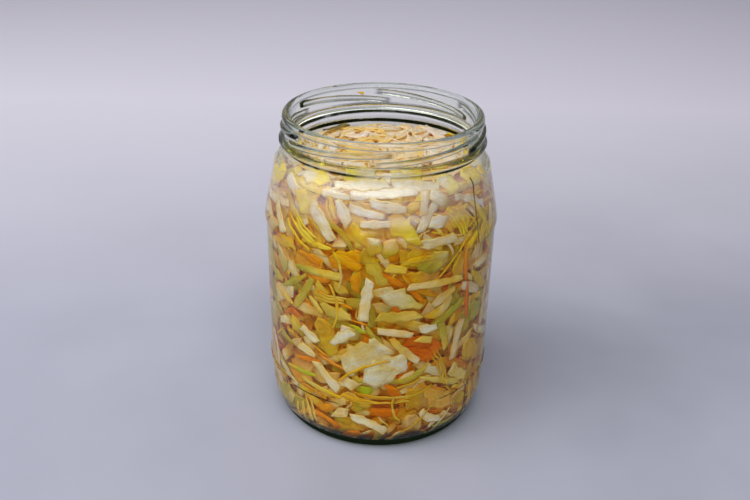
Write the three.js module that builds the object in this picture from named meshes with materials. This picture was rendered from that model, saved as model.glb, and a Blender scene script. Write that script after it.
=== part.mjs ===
// An open glass jar filled to the shoulder with sauerkraut.
// Units are millimetres, +Z is up, and the origin is the centre of the base on
// the surface that the jar stands on. -Y is the front.
//
// glass_jar    one hollow vessel: recessed base, rounded heel, a recessed belt
//              between two raised rings, sloping shoulder, neck, bead, six
//              rising thread lugs and a rounded lip
// sauerkraut   the packed heap of shredded cabbage and carrot with its brine,
//              out to the inner wall and up to its own uneven top

import * as THREE from 'three';

// ---------------------------------------------------------------- jar sizes
const JAR_HEIGHT = 129.4;
const SEGMENTS = 60;

const LIP_OUTER_R = 38.9;
const LIP_INNER_R = 35.6;
const LIP_ROUND = 2.2;           // height over which the lip rounds off
const FINISH_R = 38.5;           // straight wall that carries the lugs
const NECK_R = 38.3;             // groove under the bead
const BEAD_R = 40.35;
const BEAD_DEPTH = 10.6;         // below the lip
const BEAD_HALF = 1.3;
const SHOULDER_TOP_DEPTH = 13.5; // where the neck starts to flare
const SHOULDER_R = 42.2;         // corner of the shoulder
const SHOULDER_DEPTH = 19.0;
const UPPER_RING_R = 46.6;
const UPPER_RING_DEPTH = 40.8;
const PANEL_R = 46.05;
const LOWER_RING_R = 46.45;
const LOWER_RING_DEPTH = 105.4;
const FOOT_R = 45.7;             // body below the lower ring
const HEEL_START_DEPTH = 114.5;
const BEARING_OUTER_R = 40.2;
const HEEL_LOW_R = 42.5;         // shape of the heel between bearing ring and foot
const HEEL_LOW_Z = 1.6;
const HEEL_HIGH_R = 45.4;
const HEEL_HIGH_Z = 7.5;
const BEARING_INNER_R = 36.2;
const PUSH_UP = 1.5;             // hollow under the base

const WALL = 2.6;
const SHOULDER_WALL = 2.4;
const FLOOR_Z = 4.0;             // inside floor above the standing surface
const INNER_HEEL_R = 6.0;

const LUG_COUNT = 6;
const LUG_SPAN_DEG = 66;
const LUG_HIGH_END_DEG = 3;      // measured from the front towards +X
const LUG_HIGH_DEPTH = 4.0;
const LUG_LOW_DEPTH = 7.85;
const LUG_HALF_WIDTH = 1.15;
const LUG_PROUD = 1.15;

// --------------------------------------------------------------- heap sizes
const GAP = 0.3;                 // between the heap and the glass
const HEAP_EDGE_Z = 110.0;       // mean height where the heap meets the glass
const HEAP_TOP_Z = 115.0;        // crown of the heap
const HEAP_RINGS = 8;

const rad = THREE.MathUtils.degToRad;
const below = (depth) => JAR_HEIGHT - depth;

// points of a cubic curve through [radius, height] control points
function curve(a, b, c, d, steps, skipFirst = true) {
  const bez = new THREE.CubicBezierCurve(
    new THREE.Vector2(...a), new THREE.Vector2(...b),
    new THREE.Vector2(...c), new THREE.Vector2(...d));
  const pts = bez.getPoints(steps);
  return skipFirst ? pts.slice(1) : pts;
}

// --------------------------------------------------------- vessel's profile
function outerProfile() {
  const p = [];
  const add = (r, z) => p.push(new THREE.Vector2(r, z));
  // hollow base, bearing ring, heel
  add(0, PUSH_UP);
  p.push(...curve([26, PUSH_UP], [31, PUSH_UP], [33.5, PUSH_UP * 0.9],
    [BEARING_INNER_R, 0], 4, false));
  add(BEARING_OUTER_R, 0);
  p.push(...curve([BEARING_OUTER_R, 0], [HEEL_LOW_R, HEEL_LOW_Z], [HEEL_HIGH_R, HEEL_HIGH_Z],
    [FOOT_R + 0.1, below(HEEL_START_DEPTH)], 6));
  // lower ring, recessed belt, upper ring
  add(FOOT_R, below(LOWER_RING_DEPTH + 1.5));
  add(LOWER_RING_R, below(LOWER_RING_DEPTH + 0.6));
  add(LOWER_RING_R, below(LOWER_RING_DEPTH - 0.5));
  add(PANEL_R, below(LOWER_RING_DEPTH - 1.2));
  add(PANEL_R + 0.1, below((LOWER_RING_DEPTH + UPPER_RING_DEPTH) / 2));
  add(PANEL_R, below(UPPER_RING_DEPTH + 1.7));
  add(UPPER_RING_R, below(UPPER_RING_DEPTH + 0.9));
  // sloping shoulder up to its corner, then in to the neck
  p.push(...curve([UPPER_RING_R, below(UPPER_RING_DEPTH)], [45.5, below(33.5)],
    [42.9, below(24)], [SHOULDER_R, below(SHOULDER_DEPTH)], 4, false));
  p.push(...curve([SHOULDER_R, below(SHOULDER_DEPTH)], [40.6, below(16.4)],
    [NECK_R + 0.2, below(15.6)], [NECK_R, below(SHOULDER_TOP_DEPTH)], 4));
  // bead
  for (const t of [-1, -0.45, 0.45, 1]) {
    const proud = Math.sqrt(Math.max(0, 1 - t * t));
    add(NECK_R + (BEAD_R - NECK_R) * Math.min(1, proud * 1.12),
      below(BEAD_DEPTH) + t * BEAD_HALF);
  }
  // straight finish, in rows fine enough to carry the lugs
  const finishFrom = below(BEAD_DEPTH - BEAD_HALF - 0.6);
  const finishTo = below(LIP_ROUND + 0.4);
  const rows = 8;
  for (let i = 0; i <= rows; i++) {
    add(FINISH_R, finishFrom + (finishTo - finishFrom) * i / rows);
  }
  // rounded lip
  const lipMid = (LIP_OUTER_R + LIP_INNER_R) / 2;
  const lipHalf = (LIP_OUTER_R - LIP_INNER_R) / 2;
  for (let i = 0; i <= 5; i++) {
    const a = Math.PI * i / 5;
    add(lipMid + lipHalf * Math.cos(a), below(LIP_ROUND * (1 - Math.sin(a) ** 0.8)));
  }
  return p;
}

function innerProfile() {
  const p = [];
  const add = (r, z) => p.push(new THREE.Vector2(r, z));
  const bodyR = PANEL_R - WALL;
  add(LIP_INNER_R - 0.1, below(6));
  add(LIP_INNER_R, below(12));
  p.push(...curve([LIP_INNER_R, below(12.6)], [LIP_INNER_R + 0.3, below(17.2)],
    [SHOULDER_R - SHOULDER_WALL - 1.2, below(17.4)],
    [SHOULDER_R - SHOULDER_WALL, below(SHOULDER_DEPTH + 1.4)], 4));
  p.push(...curve([SHOULDER_R - SHOULDER_WALL, below(SHOULDER_DEPTH + 1.4)],
    [42.9 - SHOULDER_WALL - 0.1, below(25)], [45.0 - SHOULDER_WALL, below(33)],
    [bodyR, below(UPPER_RING_DEPTH)], 4));
  add(bodyR, below((LOWER_RING_DEPTH + UPPER_RING_DEPTH) / 2));
  add(FOOT_R - WALL, FLOOR_Z + INNER_HEEL_R + 1);
  p.push(...curve([FOOT_R - WALL, FLOOR_Z + INNER_HEEL_R + 1],
    [FOOT_R - WALL, FLOOR_Z + 2.6], [FOOT_R - WALL - 2.4, FLOOR_Z + 0.2],
    [FOOT_R - WALL - INNER_HEEL_R - 1, FLOOR_Z], 4));
  add(0, FLOOR_Z);
  return p;
}

// inner radius of the faceted wall at height z, read along its own profile
const innerPts = innerProfile();
function innerRadiusAt(z) {
  for (let i = 0; i + 1 < innerPts.length; i++) {
    const a = innerPts[i], b = innerPts[i + 1];
    if (z <= a.y && z >= b.y && a.y !== b.y) {
      return a.x + (b.x - a.x) * (a.y - z) / (a.y - b.y);
    }
  }
  return LIP_INNER_R;
}

// how far a lug stands out of the finish at an angle from the front and a depth
function lugProud(angleDeg, depth) {
  let proud = 0;
  for (let k = 0; k < LUG_COUNT; k++) {
    const high = LUG_HIGH_END_DEG + 360 / LUG_COUNT * k;
    const back = (((high - angleDeg) % 360) + 540) % 360 - 180; // 0 at the high end
    if (back < -2 || back > LUG_SPAN_DEG + 2) continue;
    const t = THREE.MathUtils.clamp(back / LUG_SPAN_DEG, 0, 1);
    const mid = LUG_HIGH_DEPTH + (LUG_LOW_DEPTH - LUG_HIGH_DEPTH) * t;
    const across = Math.abs(depth - mid) / LUG_HALF_WIDTH;
    const ends = Math.min(1, (Math.min(back + 2, LUG_SPAN_DEG + 2 - back)) / 4);
    if (across < 1) proud = Math.max(proud, ends * LUG_PROUD * Math.sqrt(1 - across * across));
  }
  return proud;
}

function buildJar() {
  const profile = [...outerProfile(), ...innerPts];
  const geo = new THREE.LatheGeometry(profile, SEGMENTS);
  geo.rotateX(Math.PI / 2);
  const pos = geo.attributes.position;
  for (let i = 0; i < pos.count; i++) {
    const x = pos.getX(i), y = pos.getY(i), z = pos.getZ(i);
    const r = Math.hypot(x, y);
    const depth = JAR_HEIGHT - z;
    if (Math.abs(r - FINISH_R) > 0.01 || depth < LIP_ROUND || depth > BEAD_DEPTH) continue;
    const angle = THREE.MathUtils.radToDeg(Math.atan2(x, -y));
    const k = (r + lugProud(angle, depth)) / r;
    pos.setXY(i, x * k, y * k);
  }
  geo.computeVertexNormals();
  return geo;
}

// ------------------------------------------------------------------- heap
// unevenness of the heap's top: broad hollows and tufts of shreds
function tufts(x, y) {
  return 0.9 * Math.sin(x * 0.13 + 1.3) * Math.cos(y * 0.11 - 0.4)
    + 0.55 * Math.sin(x * 0.29 - y * 0.21 + 2.1)
    + 0.4 * Math.cos(x * 0.17 + y * 0.37 - 1.0);
}

// the heap sits lower against the glass at the back left
function backLeftHollow(x, y) {
  const dx = x + 22, dy = y - 30;
  return -1.6 * Math.exp(-(dx * dx + dy * dy) / (2 * 9 * 9));
}

function heapTopAt(x, y) {
  const q = Math.min(1, Math.hypot(x, y) / 39.5);
  const dome = Math.pow(1 - q * q, 0.85);
  return HEAP_EDGE_Z + (HEAP_TOP_Z - HEAP_EDGE_Z) * dome
    + tufts(x, y) * (1 - 0.35 * q * q) + backLeftHollow(x, y);
}

function buildHeap() {
  // side rows follow the inner wall, last row is the heap's edge
  const side = innerPts.filter((p) => p.y < HEAP_EDGE_Z - 3.5 && p.x > 0).reverse();
  const profile = [new THREE.Vector2(0, FLOOR_Z + GAP)];
  for (const p of side) {
    const nearFloor = THREE.MathUtils.clamp((FLOOR_Z + INNER_HEEL_R - p.y) / INNER_HEEL_R, 0, 1);
    profile.push(new THREE.Vector2(p.x - GAP, p.y + GAP * nearFloor));
  }
  const edgeRow = profile.length;
  profile.push(new THREE.Vector2(innerRadiusAt(HEAP_EDGE_Z) - GAP, HEAP_EDGE_Z));
  for (let i = 1; i <= HEAP_RINGS; i++) {
    const q = 1 - i / HEAP_RINGS;
    profile.push(new THREE.Vector2((innerRadiusAt(HEAP_EDGE_Z) - GAP - 0.6) * q, HEAP_EDGE_Z + 1));
  }
  const rows = profile.length;
  const geo = new THREE.LatheGeometry(profile, SEGMENTS);
  geo.rotateX(Math.PI / 2);
  const pos = geo.attributes.position;
  for (let i = 0; i < pos.count; i++) {
    const row = i % rows;
    if (row < edgeRow) continue;
    let x = pos.getX(i), y = pos.getY(i);
    if (row === edgeRow) {
      const z = heapTopAt(x, y) - 0.3;
      const k = (innerRadiusAt(z) - GAP) / Math.hypot(x, y);
      pos.setXYZ(i, x * k, y * k, z);
    } else {
      // keep the top row clear of the narrowing neck above the shoulder
      const z = heapTopAt(x, y);
      const room = (innerRadiusAt(z) - GAP) / Math.max(1e-6, Math.hypot(x, y));
      const k = Math.min(1, room);
      pos.setXYZ(i, x * k, y * k, z);
    }
  }
  geo.computeVertexNormals();
  return geo;
}

// ------------------------------------------------------------------- model
function mesh(name, geometry, color, roughness, extra = {}) {
  const m = new THREE.Mesh(geometry, new THREE.MeshStandardMaterial({
    color, roughness, metalness: 0, ...extra,
  }));
  m.name = name;
  return m;
}

const jarOfSauerkraut = new THREE.Group();
jarOfSauerkraut.add(
  mesh('glass_jar', buildJar(), 0xcfdfd6, 0.05, { transparent: true, opacity: 0.35 }),
  mesh('sauerkraut', buildHeap(), 0xd9cc7a, 0.35),
);

export default jarOfSauerkraut;
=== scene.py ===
import math

import bpy
import numpy as np
from mathutils import Matrix, Vector


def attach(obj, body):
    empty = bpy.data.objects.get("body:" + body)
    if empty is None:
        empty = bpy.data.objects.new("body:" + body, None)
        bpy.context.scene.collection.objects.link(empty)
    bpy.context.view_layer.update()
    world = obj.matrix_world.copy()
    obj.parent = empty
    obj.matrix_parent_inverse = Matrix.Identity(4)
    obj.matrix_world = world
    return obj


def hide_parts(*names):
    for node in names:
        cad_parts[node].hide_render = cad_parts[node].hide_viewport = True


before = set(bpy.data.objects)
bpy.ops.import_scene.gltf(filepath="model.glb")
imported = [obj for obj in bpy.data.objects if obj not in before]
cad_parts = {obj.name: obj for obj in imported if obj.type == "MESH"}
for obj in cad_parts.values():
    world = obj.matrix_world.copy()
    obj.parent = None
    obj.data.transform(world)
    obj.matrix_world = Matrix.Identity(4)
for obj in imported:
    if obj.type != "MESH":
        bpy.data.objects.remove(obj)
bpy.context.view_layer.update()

MM = 0.001
rng = np.random.default_rng(20417)

# ------------------------------------------------------------------ sizes, mm
H = 129.4            # lip to standing surface
LIP_OUT, LIP_IN, LIP_ROUND = 38.9, 35.6, 2.2
FINISH_R, NECK_R = 38.5, 38.3
BEAD_R, BEAD_D, BEAD_HALF = 40.35, 10.6, 1.3
SHOULDER_R, SHOULDER_D = 42.2, 19.0
RING_HI_R, RING_HI_D = 46.6, 40.8
PANEL_R = 46.05
RING_LO_R, RING_LO_D = 46.45, 105.4
FOOT_R, HEEL_D = 45.7, 114.5
BEAR_OUT, BEAR_IN, PUSH_UP = 40.2, 36.2, 1.5
WALL, SHOULDER_WALL = 2.6, 2.4
FLOOR_Z, HEEL_IN = 4.0, 6.0
LUGS, LUG_SPAN, LUG_END = 6, 66.0, 3.0
LUG_HI, LUG_LO, LUG_HALF, LUG_PROUD = 4.0, 7.85, 1.15, 1.15
SEAM_DEG = 52.0      # the two mould seams, from the front towards +X

EDGE_Z, TOP_Z = 110.0, 115.0   # the heap's edge and crown, as in the frame
BRINE_Z = 107.6
R0 = 43.4            # radius at which arc length round the wall is counted


def bez(a, b, c, d, n):
    t = np.linspace(0, 1, n + 1)[:, None]
    a, b, c, d = (np.array(q, float) for q in (a, b, c, d))
    return a * (1 - t) ** 3 + 3 * b * t * (1 - t) ** 2 + 3 * c * t * t * (1 - t) + d * t ** 3


def lin3(r, g, b):
    """Linear colour of an 8-bit display colour."""
    return tuple(((v / 255) / 12.92 if v / 255 <= 0.04045 else ((v / 255 + 0.055) / 1.055) ** 2.4) for v in (r, g, b))


def smooth(x):
    x = np.clip(x, 0, 1)
    return x * x * (3 - 2 * x)


# --------------------------------------------------------- the glass's section
def outer_section():
    """[radius, height] from the middle of the base, up the outside, to the lip."""
    p = [np.column_stack([np.linspace(0, 26, 9), np.full(9, PUSH_UP)])]
    p.append(bez((26, PUSH_UP), (31, PUSH_UP), (33.5, PUSH_UP * 0.9), (BEAR_IN, 0.0), 12)[1:])
    p.append(np.array([[BEAR_IN + 0.5, 0.0], [38.0, 0.0], [BEAR_OUT - 0.5, 0.0]]))
    p.append(bez((BEAR_OUT, 0.0), (42.5, 1.6), (45.4, 7.5), (FOOT_R + 0.1, H - HEEL_D), 26))
    # foot, lower ring, belt, upper ring as one function of depth
    d = np.concatenate([
        np.arange(HEEL_D - 1.5, RING_LO_D + 2.0, -1.5),
        np.arange(RING_LO_D + 1.9, RING_LO_D - 1.9, -0.13),
        np.arange(RING_LO_D - 3.5, RING_HI_D + 3.4, -2.0),
        np.arange(RING_HI_D + 2.3, RING_HI_D, -0.13),
    ])
    up = smooth((RING_LO_D + 1.15 - d) / 0.75)          # foot to ring
    down = smooth((RING_LO_D - 0.55 - d) / 0.7)         # ring to belt
    r = FOOT_R + 0.05 + (RING_LO_R - FOOT_R - 0.05) * up + (PANEL_R - RING_LO_R) * down
    span = np.clip((d - RING_HI_D) / (RING_LO_D - RING_HI_D), 0, 1)
    r = r + np.where(down >= 1, 0.1 * np.sin(np.pi * span), 0)
    step = smooth((RING_HI_D + 1.6 - d) / 0.75)
    r = r + (RING_HI_R - PANEL_R) * step * (d < 60)
    p.append(np.column_stack([r, H - d]))
    p.append(bez((RING_HI_R, H - RING_HI_D), (45.5, H - 33.5), (42.9, H - 24), (SHOULDER_R, H - SHOULDER_D), 26))
    p.append(bez((SHOULDER_R, H - SHOULDER_D), (40.6, H - 16.4), (NECK_R + 0.2, H - 15.6), (NECK_R, H - 13.5), 20)[1:])
    # neck groove and bead
    d = np.arange(13.2, 8.75, -0.16)
    t = np.clip(np.abs(d - BEAD_D) / BEAD_HALF, 0, 1)
    base = NECK_R + (FINISH_R - NECK_R) * smooth((BEAD_D - d) / 1.6 + 0.5)
    p.append(np.column_stack([base + (BEAD_R - base) * (1 - t ** 2.2) ** 0.75, H - d]))
    # finish, fine enough for the lugs
    d = np.arange(8.7, LIP_ROUND + 0.35, -0.15)
    p.append(np.column_stack([np.full(len(d), FINISH_R), H - d]))
    # lip
    mid, half = (LIP_OUT + LIP_IN) / 2, (LIP_OUT - LIP_IN) / 2
    a = np.linspace(-0.1, math.pi, 22)
    p.append(np.column_stack([mid + half * np.cos(a), H - LIP_ROUND * (1 - np.sign(np.sin(a)) * np.abs(np.sin(a)) ** 0.8)]))
    return np.concatenate(p)


def inner_section(fine=1):
    """[radius, height] from the neck, down the inside, to the middle of the floor."""
    body = PANEL_R - WALL
    sh = SHOULDER_R - SHOULDER_WALL
    p = [np.column_stack([LIP_IN - 0.1 * np.sin(np.linspace(0.2, 1.2, 7)), H - np.linspace(3.2, 6, 7)])]
    p.append(np.column_stack([np.linspace(LIP_IN - 0.08, LIP_IN, 6), H - np.linspace(7, 12, 6)]))
    p.append(bez((LIP_IN, H - 12.6), (LIP_IN + 0.3, H - 17.2), (sh - 1.2, H - 17.4), (sh, H - SHOULDER_D - 1.4), 18))
    p.append(bez((sh, H - SHOULDER_D - 1.4), (42.9 - SHOULDER_WALL - 0.1, H - 25), (45.0 - SHOULDER_WALL, H - 33), (body, H - RING_HI_D), 16)[1:])
    z = np.linspace(H - RING_HI_D, FLOOR_Z + HEEL_IN + 1, 34)[1:-1]
    zm = H - (RING_LO_D + RING_HI_D) / 2
    p.append(np.column_stack([np.where(z > zm, body, body + (FOOT_R - WALL - body) * (zm - z) / (zm - FLOOR_Z - HEEL_IN - 1)), z]))
    f = FOOT_R - WALL
    p.append(bez((f, FLOOR_Z + HEEL_IN + 1), (f, FLOOR_Z + 2.6), (f - 2.4, FLOOR_Z + 0.2), (f - HEEL_IN - 1, FLOOR_Z), 22))
    p.append(np.column_stack([np.linspace(f - HEEL_IN - 3, 0, 12), np.full(12, FLOOR_Z)]))
    return np.concatenate(p)


def lug(deg, d):
    """How far the rising thread lugs stand out, at an angle from the front and a depth under the lip."""
    out = np.zeros(np.broadcast(deg, d).shape)
    for k in range(LUGS):
        back = (LUG_END + 360 / LUGS * k - deg + 180) % 360 - 180
        t = np.clip(back / LUG_SPAN, 0, 1)
        mid = LUG_HI + (LUG_LO - LUG_HI) * t
        x = np.abs(d - mid) / LUG_HALF
        ends = smooth(np.minimum(back + 3, LUG_SPAN + 3 - back) / 6)
        out = np.maximum(out, ends * LUG_PROUD * np.sqrt(np.clip(1 - x ** 2.2, 0, 1)))
    return out


# ------------------------------------------------------------- mesh and nodes
def make_mesh(name, co, faces, mats, smooth_all=True):
    """co in mm, faces a list or array of quads and triangles."""
    me = bpy.data.meshes.new(name)
    co = np.asarray(co, np.float64) * MM
    loops = np.concatenate([np.asarray(f, np.int32).ravel() for f in faces]) if isinstance(faces, list) and len(faces) and isinstance(faces[0], np.ndarray) else None
    if loops is None:
        me.from_pydata(co.tolist(), [], [tuple(f) for f in faces])
    else:
        sizes = np.concatenate([np.full(len(f), f.shape[1], np.int32) for f in faces])
        starts = np.concatenate([[0], np.cumsum(sizes)[:-1]]).astype(np.int32)
        me.vertices.add(len(co))
        me.vertices.foreach_set("co", co.astype(np.float32).ravel())
        me.loops.add(len(loops))
        me.loops.foreach_set("vertex_index", loops)
        me.polygons.add(len(sizes))
        me.polygons.foreach_set("loop_start", starts)
        me.polygons.foreach_set("loop_total", sizes)
        me.update(calc_edges=True)
        me.validate()
    if smooth_all:
        me.polygons.foreach_set("use_smooth", np.ones(len(me.polygons), bool))
    ob = bpy.data.objects.new(name, me)
    bpy.context.scene.collection.objects.link(ob)
    for m in mats:
        me.materials.append(m)
    return ob


def lathe(section, phis, push=None):
    """Closed surface of a section that starts and ends on the axis. phis are the angles of its columns."""
    n, m = len(section), len(phis)
    R, Z = section[1:-1, 0][:, None], section[1:-1, 1][:, None]
    P = phis[None, :]
    R = R + (push(np.degrees(P), H - Z, R) if push is not None else 0 * P)
    co = np.stack([R * np.sin(P), -R * np.cos(P), Z + 0 * P], -1).reshape(-1, 3)
    co = np.concatenate([co, [[0, 0, section[0, 1]], [0, 0, section[-1, 1]]]])
    i = np.arange(n - 3)[:, None] * m
    j = np.arange(m)[None, :]
    k = (j + 1) % m
    quads = np.stack([i + j, i + k, i + m + k, i + m + j], -1).reshape(-1, 4)
    lo = np.stack([np.full(m, len(co) - 2), (np.arange(m) + 1) % m, np.arange(m)], -1)
    top = (n - 3) * m
    hi = np.stack([np.full(m, len(co) - 1), top + np.arange(m), top + (np.arange(m) + 1) % m], -1)
    return co, [quads, lo, hi]


class Nodes:
    def __init__(self, name):
        self.mat = bpy.data.materials.new(name)
        self.mat.use_nodes = True
        self.t = self.mat.node_tree
        self.t.nodes.clear()
        self.out = self.new("ShaderNodeOutputMaterial")

    def new(self, kind, **kw):
        n = self.t.nodes.new(kind)
        for k, v in kw.items():
            setattr(n, k, v)
        return n

    def link(self, a, b):
        self.t.links.new(a, b)

    def math(self, op, a, b=None, c=None, clamp=False):
        n = self.new("ShaderNodeMath", operation=op, use_clamp=clamp)
        for s, v in zip(n.inputs, (a, b, c)):
            if v is None:
                continue
            if hasattr(v, "is_output"):
                self.link(v, s)
            else:
                s.default_value = v
        return n.outputs[0]

    def mix(self, fac, a, b, blend="MIX"):
        n = self.new("ShaderNodeMix", data_type="RGBA", blend_type=blend)
        for s, v in ((n.inputs[0], fac), (n.inputs[6], a), (n.inputs[7], b)):
            if hasattr(v, "is_output"):
                self.link(v, s)
            else:
                s.default_value = v if isinstance(v, (int, float)) else (*v[:3], 1)
        return n.outputs[2]

    def noise(self, vec, scale, detail=2.0, rough=0.5, distort=0.0, out="Fac"):
        n = self.new("ShaderNodeTexNoise")
        n.inputs["Scale"].default_value = scale
        n.inputs["Detail"].default_value = detail
        n.inputs["Roughness"].default_value = rough
        n.inputs["Distortion"].default_value = distort
        if vec is not None:
            self.link(vec, n.inputs["Vector"])
        return n.outputs[out]

    def ramp(self, fac, stops):
        n = self.new("ShaderNodeValToRGB")
        while len(n.color_ramp.elements) < len(stops):
            n.color_ramp.elements.new(0.5)
        for e, (p, c) in zip(n.color_ramp.elements, stops):
            e.position = p
            e.color = (*c, 1) if len(c) == 3 else c
        self.link(fac, n.inputs[0])
        return n.outputs[0]

    def range(self, v, a, b, c, d):
        n = self.new("ShaderNodeMapRange")
        self.link(v, n.inputs[0])
        for s, x in zip(n.inputs[1:5], (a, b, c, d)):
            s.default_value = x
        return n.outputs[0]

    def scaled(self, vec, xyz, offset=(0, 0, 0)):
        n = self.new("ShaderNodeMapping")
        n.inputs["Scale"].default_value = xyz
        n.inputs["Location"].default_value = offset
        self.link(vec, n.inputs["Vector"])
        return n.outputs[0]

    def bump(self, height, strength, dist):
        n = self.new("ShaderNodeBump")
        n.inputs["Strength"].default_value = strength
        n.inputs["Distance"].default_value = dist
        self.link(height, n.inputs["Height"])
        return n.outputs[0]


def clear_material(name, ior, tint, absorb, density, ripple=None, mirror=1.0, foot=None):
    """Glass or liquid that lets lamps and diffuse light straight through."""
    n = Nodes(name)
    p = n.new("ShaderNodeBsdfPrincipled")
    p.inputs["Base Color"].default_value = (1, 1, 1, 1)
    if mirror is None:
        # painted shade: dark olive lines on the rings, seams, lugs and neck, and a near-black foot, standing in for the
        # dark that the thick glass bends and mirrors there
        at = n.new("ShaderNodeAttribute", attribute_name="edge").outputs["Fac"]
        pos = n.new("ShaderNodeTexCoord").outputs["Object"]
        broken = n.range(n.noise(pos, 55.0, 3.0, 0.6), 0.38, 0.62, 0.25, 1.0)
        sep = n.new("ShaderNodeSeparateXYZ")
        n.link(pos, sep.inputs[0])
        whole = n.range(sep.outputs["Z"], 0.006, 0.010, 1.0, 0.0)
        k = n.math("MULTIPLY", at, n.math("MAXIMUM", broken, whole), clamp=True)
        n.link(n.mix(k, (1, 1, 1), (0.035, 0.05, 0.018)), p.inputs["Base Color"])
        hz = n.new("ShaderNodeAttribute", attribute_name="haze_and_painted_highlight").outputs["Fac"]
        n.link(n.math("MULTIPLY", hz, 0.18), p.inputs["Roughness"])
        dark = n.new("ShaderNodeBsdfPrincipled")
        dark.inputs["Base Color"].default_value = (0.011, 0.019, 0.007, 1)
        dark.inputs["Roughness"].default_value = 0.3
        dark.inputs["Specular IOR Level"].default_value = 0.0
        # painted highlight: a pale, thin, uneven streaked veil over the shoulder, for the soft reflection of the window
        # there
        painted_highlight_bsdf = n.new("ShaderNodeBsdfPrincipled")
        painted_highlight_bsdf.inputs["Base Color"].default_value = (0.78, 0.79, 0.9, 1)
        painted_highlight_bsdf.inputs["Roughness"].default_value = 0.5
        streaks = n.range(n.noise(n.scaled(pos, (26, 26, 150)), 1.0, 3.0, 0.55), 0.36, 0.68, 0.04, 0.22)
        painted_highlight_mix = n.math("MULTIPLY", hz, streaks)
    if mirror is not None:
        p.inputs["Roughness"].default_value = 0.0
    p.inputs["IOR"].default_value = ior
    p.inputs["Transmission Weight"].default_value = 1.0
    if mirror is None:
        n.link(n.new("ShaderNodeAttribute", attribute_name="gloss").outputs["Color"], p.inputs["Specular Tint"])
    else:
        p.inputs["Specular Tint"].default_value = (mirror, mirror, mirror, 1)
    if ripple:
        geo = n.new("ShaderNodeTexCoord").outputs["Object"]
        h = n.noise(n.scaled(geo, ripple[0]), 1.0, 2.0)
        sp = n.new("ShaderNodeSeparateXYZ")
        n.link(geo, sp.inputs[0])
        top_ = n.range(sp.outputs["Z"], (H - 36) * MM, (H - 24) * MM, 0.16, 1.0)
        h = n.math("MULTIPLY", h, top_)
        n.link(n.bump(h, ripple[1], ripple[2]), p.inputs["Normal"])
    t = n.new("ShaderNodeBsdfTransparent")
    t.inputs["Color"].default_value = (*tint, 1)
    if foot is not None:
        low = n.new("ShaderNodeAttribute", attribute_name="thick").outputs["Fac"]
        n.link(n.mix(low, tint, foot), t.inputs["Color"])
    lp = n.new("ShaderNodeLightPath")
    f = n.math("MAXIMUM", lp.outputs["Is Shadow Ray"], lp.outputs["Is Diffuse Ray"])
    mx = n.new("ShaderNodeMixShader")
    n.link(f, mx.inputs[0])
    if mirror is None:
        # painted shade: the near-black glass is mixed in where the edge attribute is strong
        md = n.new("ShaderNodeMixShader")
        n.link(n.math("MULTIPLY", k, 0.97), md.inputs[0])
        # painted highlight: the pale veil is mixed over the clear glass
        mf = n.new("ShaderNodeMixShader")
        n.link(painted_highlight_mix, mf.inputs[0])
        n.link(p.outputs[0], mf.inputs[1])
        n.link(painted_highlight_bsdf.outputs[0], mf.inputs[2])
        n.link(mf.outputs[0], md.inputs[1])
        n.link(dark.outputs[0], md.inputs[2])
        n.link(md.outputs[0], mx.inputs[1])
    else:
        n.link(p.outputs[0], mx.inputs[1])
    n.link(t.outputs[0], mx.inputs[2])
    n.link(mx.outputs[0], n.out.inputs["Surface"])
    if density:
        v = n.new("ShaderNodeVolumeAbsorption")
        v.inputs["Color"].default_value = (*absorb, 1)
        v.inputs["Density"].default_value = density
        n.link(v.outputs[0], n.out.inputs["Volume"])
    return n.mat


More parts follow.
